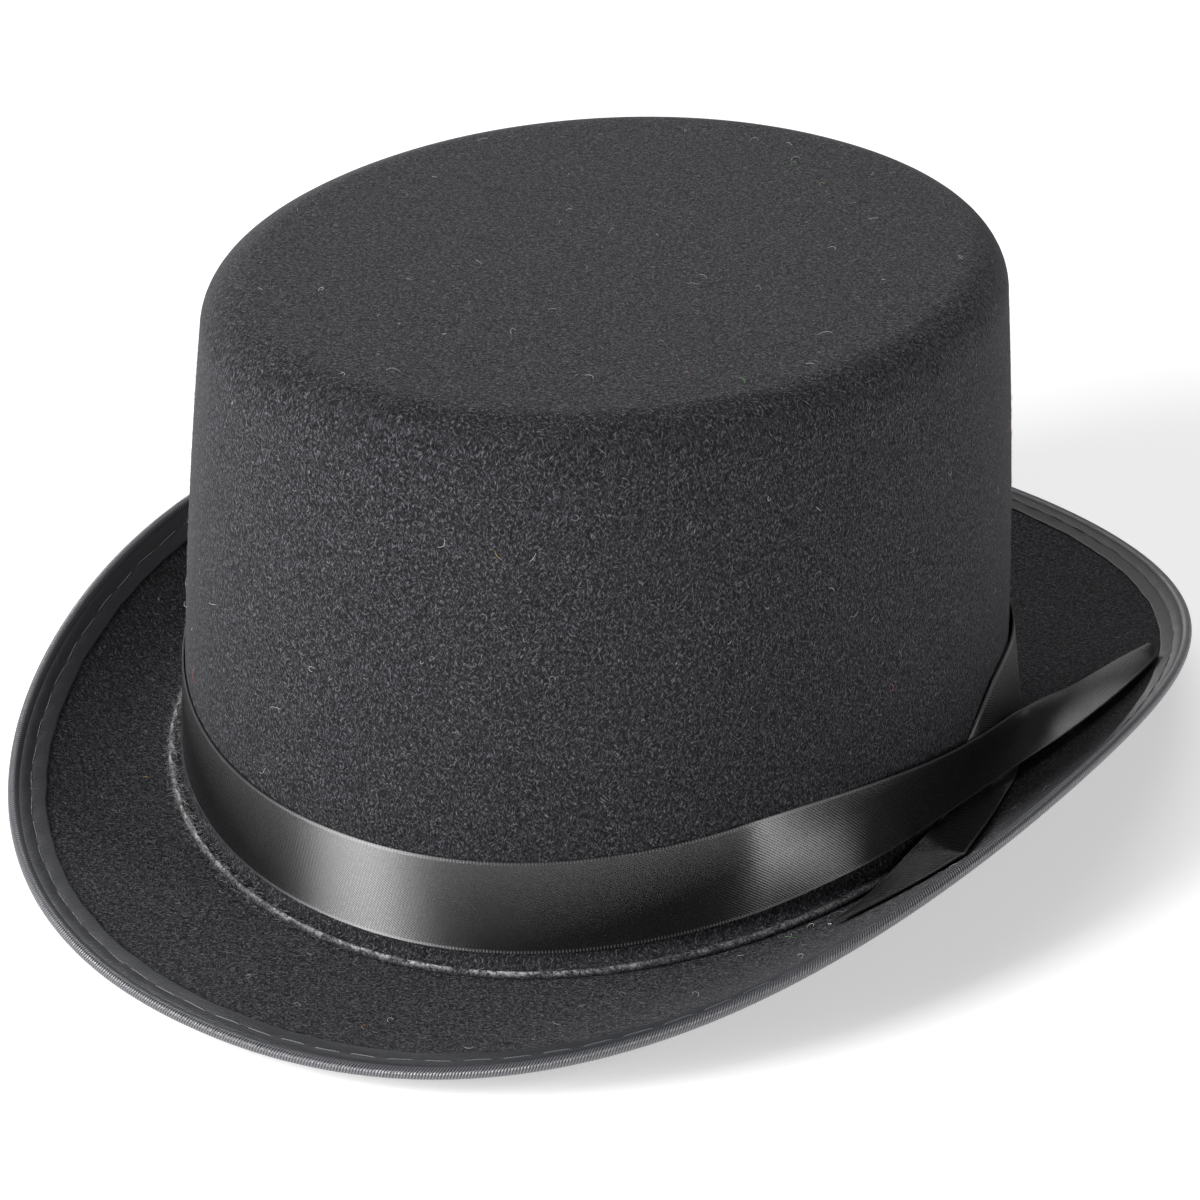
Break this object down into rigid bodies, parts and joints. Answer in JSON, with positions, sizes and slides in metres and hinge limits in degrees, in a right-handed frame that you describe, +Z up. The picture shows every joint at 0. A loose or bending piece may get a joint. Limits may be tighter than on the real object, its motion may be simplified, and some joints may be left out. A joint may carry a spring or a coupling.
{
  "type": "top hat",
  "caption": "Black felt top hat with a flat oval tip, a brim that rises at both sides, a bound edge and a satin band whose ends lie loose on the brim.",
  "frame": {"origin": "on the surface the hat stands on, under the middle of its bounding box", "axes": "+Z up, -Y the front of the hat, +X the wearer's left, where the band's ends cross"},
  "size_m": [0.2362, 0.3128, 0.1302],
  "materials": {
    "felt": "black polyester felt, matt, with fine pale fibre flecks and a slight nap",
    "satin_ribbon": "black satin, broad soft highlights across its length",
    "binding_tape": "black ribbed satin bias tape with a grey sheen",
    "stiffener": "bonded non-woven, matt dark grey",
    "lining": "thin black satin lining",
    "sweatband": "black ribbed sweatband tape",
    "thread": "black polyester sewing thread with a grey glint",
    "steel_wire": "bright drawn steel wire",
    "label": "blank off-white woven label"
  },
  "bodies": {
    "hat": {"crown_felt": "felt", "crown_stiffener": "stiffener", "crown_lining_side": "lining", "crown_lining_tip": "lining", "sweatband": "sweatband", "sweatband_thread": "thread", "care_label": "label", "brim_felt_top": "felt", "brim_stiffener": "stiffener", "brim_felt_under": "felt", "brim_binding": "binding_tape", "binding_thread": "thread", "brim_wire": "steel_wire", "wire_joiner": "steel_wire", "hat_band": "satin_ribbon", "band_end_over": "satin_ribbon", "band_end_under": "satin_ribbon", "band_tack": "thread"},
    "upper_tail": {"upper_tail": "satin_ribbon"},
    "lower_tail": {"lower_tail": "satin_ribbon"}
  },
  "joints": [
    {"name": "upper_tail_lift", "type": "hinge", "parent": "hat", "child": "upper_tail", "pos_m": [0.08999, 0.03754, 0.01701], "axis": [0.9059, -0.2368, -0.3511], "range_deg": [0, 90]},
    {"name": "lower_tail_lift", "type": "hinge", "parent": "hat", "child": "lower_tail", "pos_m": [0.0978, -0.01855, 0.01765], "axis": [-1, 0, 0], "range_deg": [0, 90]}
  ]
}
